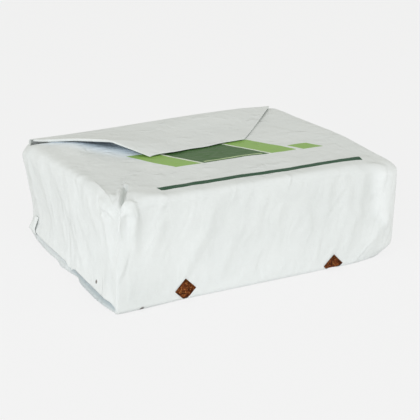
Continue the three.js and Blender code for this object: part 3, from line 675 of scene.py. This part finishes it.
# Shares of the columns where the turned-under sides and their round folds start
LEFT_TUCK, LEFT_ROUND, RIGHT_ROUND, RIGHT_TUCK = 0.16, 0.2, 0.88, 0.91
flap = bmesh.new()
bmesh.ops.create_grid(flap, x_segments=FLAP_COLUMNS, y_segments=FLAP_ROWS, size=0.5)
spare = []
for face in flap.faces:
    middle = face.calc_center_median()
    column, along = middle.x + 0.5, (0.5 - middle.y) * (1 + ROOT) - ROOT
    if along < 0.02 and not LEFT_ROUND < column < RIGHT_ROUND:
        spare.append(face)
bmesh.ops.delete(flap, geom=spare, context="FACES")
for vert in flap.verts:
    column, along = vert.co.x + 0.5, (0.5 - vert.co.y) * (1 + ROOT) - ROOT
    if LEFT_ROUND <= column <= RIGHT_ROUND:
        vert.co = flap_point((column - LEFT_ROUND) / (RIGHT_ROUND - LEFT_ROUND), along)
        continue
    left = column < LEFT_ROUND
    gap = left_gap(along) if left else GAP_RIGHT
    width = TUCK_WIDTH * (0.1 + 0.9 * along)
    radius = min(gap / 2, width / 6)
    edge = flap_point(0 if left else 1, along)
    start, end, last = (LEFT_ROUND, LEFT_TUCK, 0) if left else (RIGHT_ROUND, RIGHT_TUCK, 1)
    side = -1 if left else 1
    turn = (column - start) / (end - start)
    if turn <= 1:
        angle = turn * math.pi
        vert.co = edge + Vector((side * radius * math.sin(angle), 0, -radius * (1 - math.cos(angle))))
    else:
        inward = width * (column - end) / (last - end)
        across = inward / (FLAP_BACK + (FLAP_FRONT - FLAP_BACK) * along)
        above = flap_point(across if left else 1 - across, along)
        gap = GAP_LEAST + (2 * radius - GAP_LEAST) * (1 - smooth(inward, 0, 0.8 * width))
        vert.co = above + Vector((0, smooth(inward, 0, 5), -gap))


# Ear
# A pinch of the same film at the foot of the back left corner, where the bag's end is folded. It
# stands a little off the end wall and is open towards the front.
EAR_BACK, EAR_LENGTH = 112, 24
EAR_FOOT, EAR_HEIGHT = 7, 16
# The gap behind it, how far its rim sinks into the wall, and how far it swells and bows out
EAR_GAP, EAR_SINK, EAR_SWELL, EAR_BOW = 1.6, 0.6, 1.6, 1.2
EAR_COLUMNS, EAR_ROWS = 14, 10
ear = bmesh.new()
bmesh.ops.create_grid(ear, x_segments=EAR_COLUMNS, y_segments=EAR_ROWS, size=0.5)
for vert in ear.verts:
    forward, rise = vert.co.x + 0.5, vert.co.y + 0.5
    y = EAR_BACK - EAR_LENGTH * forward
    z = EAR_FOOT + EAR_HEIGHT * rise * (0.4 + 0.85 * smooth(forward, 0, 0.8))
    wall = rounded(Vector((-LENGTH / 2, y, z)), FILM_OFFSET)
    gap = EAR_GAP * smooth(forward, 0, 0.5) * (1 - 0.8 * smooth(rise, 0.5, 1)) * smooth(rise, 0.1, 0.5)
    out = foot_fold(max(z, 10), y)[0] + gap - EAR_SINK
    out += EAR_SWELL * smooth(forward, 0, 0.2) * smooth(rise, 0, 0.4)
    out += EAR_BOW * math.sin(math.pi * forward)
    vert.co = Vector((wall.x - out, y, z + 0.6 * noise.noise(Vector((y / 6, z / 6, 2)))))


# White polyethylene, blown to film: satin, faintly cool, with fine crinkles. The print on the body's
# top is flat ink: a dark stripe along the front and a panel of green blocks that runs under the flap.

# Sizes of the clouds in its white, its fine crinkles and its creases, and how far creases are drawn out
CLOUD_SIZE, FINE_SIZE, CREASE_SIZE, CREASE_DRAWN = 38.46, 6.25, 13.33, 4.5
# Size of its crumpled facets, and of the waves that bend their edges by up to that much
CRUMPLE_SIZE, WARP_SIZE, WARP_REACH = 14.29, 16.67, 12
# Walls are painted lighter towards the floor, as bounce light, except at the foot of the front left corner
WHITER_TOP, DARKER_CORNER, DARKER_REACH = 85, (-155, -125, 10), (10, 90)
# Specks: place and size
SPECKS = [((-160.8, -83.8, 17.7), 1.1), ((-134.6, -126.5, 2), 1.3)]
# Print: colour, left and right ends, front and back edges, slant of the ends and tilt of the edges
PRINT = [
    ("#94BB62", -78, 60, -44, 14, 0.45, 0),
    ("#E4EBDC", -50, 30, -44, 14, 0.45, 0),
    ("#476B3B", -47, 27, -44, 14, 0.45, 0),
    ("#C9DCA8", -43, 23, -40.5, -38.5, 0.45, 0),
    ("#94BB62", 66, 90, -46, -27, 0.45, 0),
    ("#084A2A", -102.5, 60, -104, -95, 0, 0),
    ("#084A2A", 74.9, 144.5, -102.3, -93.4, -0.25, 0.03),
]
# The print is on film above this height, and its edges waver over that length by up to these shifts
PRINT_BOTTOM = 99
PRINT_WAVE, PRINT_SHIFT = 33.33, (3, 4, 0)


def film_material(name, printed):
    """White film, with the specks and the print where it is the body's."""
    material, tree, output = new_material(name)
    place = add_node(tree, "TexCoord").outputs["Object"]

    # Faint clouds, painted bounce light on low walls, painted light on loose film, a cool painted tint in
    # the shade by the flap and painted shade on the grey strip at the foot
    cloudy = {"Vector": place, "Scale": 1 / (CLOUD_SIZE * MM), "Detail": 6, "Roughness": 0.6}
    cloud = add_node(tree, "TexNoise", cloudy)
    spot = add_node(tree, "SeparateXYZ", {"Vector": place})
    drop = {"Value": spot.outputs["Z"], "From Min": WHITER_TOP * MM, "From Max": 0.0, "To Max": 0.45}
    low = add_node(tree, "MapRange", drop, interpolation_type="SMOOTHSTEP")
    darker_corner = Vector(DARKER_CORNER) * MM
    far = add_node(tree, "VectorMath", {0: place, 1: darker_corner}, operation="DISTANCE").outputs["Value"]
    near, clear = (reach * MM for reach in DARKER_REACH)
    fading = {"Value": far, "From Min": near, "From Max": clear}
    away = add_node(tree, "MapRange", fading, interpolation_type="SMOOTHSTEP")
    shares = {0: low.outputs["Result"], 1: away.outputs["Result"]}
    # The lighter low walls are painted bounce light, held back at the front left foot
    floor_bounce_light = add_node(tree, "Math", shares, operation="MULTIPLY")
    layers = [(cloud.outputs["Fac"], "#EEF1EF"), (floor_bounce_light.outputs["Value"], "#F3F6F5")]
    for kind, colour in (("painted slack light", "#F2F5F4"), ("shaded film", "#E9F5FF"), ("painted foot shade", "#A9B6BA")):
        layers.append((add_node(tree, "Attribute", attribute_name=kind).outputs["Fac"], colour))

    if printed:
        for mark, size in SPECKS:
            ends = {0: place, 1: Vector(mark) * MM}
            gap = add_node(tree, "VectorMath", ends, operation="DISTANCE").outputs["Value"]
            edge = {"From Min": size * MM, "From Max": 2.2 * size * MM, "To Min": 0.85, "To Max": 0}
            layers.append((add_node(tree, "MapRange", {"Value": gap, **edge}).outputs["Result"], "#4A3A30"))
        wave = add_node(tree, "TexNoise", {"Vector": place, "Scale": 1 / (PRINT_WAVE * MM), "Detail": 2})
        waved = {0: wave.outputs["Color"], 1: Vector(PRINT_SHIFT) * MM, 2: place}
        print_place = add_node(tree, "VectorMath", waved, operation="MULTIPLY_ADD")
        split = add_node(tree, "SeparateXYZ", {"Vector": print_place.outputs["Vector"]})
        x, y, z = (split.outputs[axis] for axis in "XYZ")
        on_top = add_node(tree, "Math", {0: z, 1: PRINT_BOTTOM * MM}, operation="GREATER_THAN")
        for colour, left, right, front, back, slant, tilt in PRINT:
            skewed = add_node(tree, "Math", {0: y, 1: slant, 2: x}, operation="MULTIPLY_ADD")
            tilted = add_node(tree, "Math", {0: x, 1: tilt, 2: y}, operation="MULTIPLY_ADD")
            mask = on_top.outputs["Value"]
            for value, least, most in ((skewed, left, right), (tilted, front, back)):
                for limit, operation in ((least, "GREATER_THAN"), (most, "LESS_THAN")):
                    inputs = {0: value.outputs["Value"], 1: limit * MM}
                    test = add_node(tree, "Math", inputs, operation=operation).outputs["Value"]
                    both = add_node(tree, "Math", {0: mask, 1: test}, operation="MULTIPLY")
                    mask = both.outputs["Value"]
            layers.append((mask, colour))
    white = linear("#DFE3E1")
    for share, colour in layers:
        blend = {"Factor": share, "A": white, "B": linear(colour)}
        white = add_node(tree, "Mix", blend, data_type="RGBA").outputs["Result"]

    # Fine crinkles, crumpled facets and long creases drawn slantwise down the walls
    slant = (math.radians(-19), math.radians(17), 0)
    long_way = {"Vector": place, "Rotation": slant, "Scale": (1, 1, CREASE_DRAWN)}
    drawn = add_node(tree, "Mapping", long_way, vector_type="TEXTURE").outputs["Vector"]
    sharp = {"Scale": 1 / (CREASE_SIZE * MM), "Detail": 3, "Roughness": 0.5, "Distortion": 0.6}
    creases = add_node(tree, "TexNoise", {"Vector": drawn, **sharp}, noise_type="RIDGED_MULTIFRACTAL")
    warp = add_node(tree, "TexNoise", {"Vector": place, "Scale": 1 / (WARP_SIZE * MM), "Detail": 2})
    bent = {0: warp.outputs["Color"], 1: [WARP_REACH * MM] * 3, 2: place}
    warped = add_node(tree, "VectorMath", bent, operation="MULTIPLY_ADD").outputs["Vector"]
    crumple = add_node(tree, "TexVoronoi", {"Vector": warped, "Scale": 1 / (CRUMPLE_SIZE * MM)})
    small = {"Vector": place, "Scale": 1 / (FINE_SIZE * MM), "Detail": 4, "Roughness": 0.6}
    crinkle = add_node(tree, "TexNoise", small)
    bump = add_node(tree, "Bump", {"Height": crinkle.outputs["Fac"], "Strength": 0.4, "Distance": 0.6 * MM})
    for height, strength, size in (
        (crumple.outputs["Distance"], 0.42, 1.2),
        (creases.outputs["Fac"], 0.9, 1.6),
    ):
        relief = {"Height": height, "Strength": strength, "Distance": size * MM}
        bump = add_node(tree, "Bump", {**relief, "Normal": bump.outputs["Normal"]})
    satin = {"Base Color": white, "Roughness": 0.42, "IOR": 1.5, "Specular IOR Level": 0.2}
    surface = add_node(tree, "BsdfPrincipled", {**satin, "Normal": bump.outputs["Normal"]})
    tree.links.new(surface.outputs["BSDF"], output.inputs["Surface"])
    return material


printed_film = film_material("white polyethylene film, printed", True)
plain_film = film_material("white polyethylene film", False)

# The flap and the ear are of one piece with the body, in plain film 0.2 mm thick
FILM_THICKNESS = 0.2
for shape in (flap, ear):
    for face in shape.faces:
        face.material_index = 1
    part = bpy.data.meshes.new("part")
    shape.to_mesh(part)
    shape.free()
    body.from_mesh(part)
    bpy.data.meshes.remove(part)
film = add_piece("film_bag_skin", body, printed_film, plain_film)
thickness = film.modifiers.new("film", "SOLIDIFY")
thickness.thickness = FILM_THICKNESS * MM
thickness.offset = -1
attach(film, "root")
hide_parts("film_bag")


# Stage
# A pale floor that runs past the picture and two softboxes, left and right of the camera, the left one
# stronger, in even light all around.
FLOOR_HALF = 8000
# The floor is seen in one pale tone, with a faint shadow
SEEN_EVEN = 0.9
floor_shape = bmesh.new()
bmesh.ops.create_grid(floor_shape, x_segments=1, y_segments=1, size=FLOOR_HALF)
backdrop, tree, output = new_material("pale floor")
path = add_node(tree, "LightPath")
seen = add_node(tree, "Math", {0: path.outputs["Is Camera Ray"], 1: SEEN_EVEN}, operation="MULTIPLY")
lit = add_node(tree, "BsdfDiffuse", {"Color": linear("#F6F6F6")})
shown = add_node(tree, "Emission", {"Color": linear("#F4F4F4"), "Strength": 1})
tones = {0: seen.outputs["Value"], 1: lit.outputs["BSDF"], 2: shown.outputs["Emission"]}
mixed = add_node(tree, "MixShader", tones)
tree.links.new(mixed.outputs["Shader"], output.inputs["Surface"])
floor = add_piece("floor", floor_shape, backdrop)

EVEN_LIGHT, SEEN_LIGHT = 0.71, 1
world = bpy.data.worlds.new("studio")
bpy.context.scene.world = world
world.use_nodes = True
tree = world.node_tree
path = add_node(tree, "LightPath")
even = tree.nodes["Background"]
even.inputs["Color"].default_value = linear("#F2F2EC")
levels = {"Value": path.outputs["Is Camera Ray"], "To Min": EVEN_LIGHT, "To Max": SEEN_LIGHT}
strength = add_node(tree, "MapRange", levels)
tree.links.new(strength.outputs["Result"], even.inputs["Strength"])

# Softboxes in metres and watts, aimed at the middle of the bag
SOFTBOXES = [("left", (-1.42, -1.0, 0.72), 13.4), ("right", (1.3, -1.1, 0.6), 5.0)]
BOX_WIDTH, BOX_HEIGHT = 1.4, 1.1
COOL_WHITE = (0.985, 1, 1.08)
AIM = Vector((0, 0, 0.05))
for name, place, power in SOFTBOXES:
    soft = bpy.data.lights.new(name + " softbox", "AREA")
    soft.shape = "RECTANGLE"
    soft.size, soft.size_y = BOX_WIDTH, BOX_HEIGHT
    soft.energy = power
    soft.color = COOL_WHITE
    lamp = bpy.data.objects.new(name + " softbox", soft)
    lamp.location = place
    lamp.rotation_mode = "QUATERNION"
    lamp.rotation_quaternion = (AIM - lamp.location).to_track_quat("-Z", "Y")
    bpy.context.scene.collection.objects.link(lamp)

# Camera: front left of the bag and above it, looking down at its middle
AZIMUTH, ELEVATION = math.radians(-28.033), math.radians(18.796)
CAMERA_PLACE = (-0.509259, -0.961111, 0.406787)
SENSOR_WIDTH, FOCAL_LENGTH = 36, 94.2857
view = bpy.data.cameras.new("camera")
view.sensor_width = SENSOR_WIDTH
view.lens = FOCAL_LENGTH
camera = bpy.data.objects.new("camera", view)
level = math.cos(ELEVATION)
back = Vector((math.sin(AZIMUTH) * level, -math.cos(AZIMUTH) * level, math.sin(ELEVATION)))
camera.location = CAMERA_PLACE
camera.rotation_mode = "QUATERNION"
camera.rotation_quaternion = (-back).to_track_quat("-Z", "Y")
bpy.context.scene.collection.objects.link(camera)
bpy.context.scene.camera = camera
bpy.context.scene.view_settings.view_transform = "Standard"
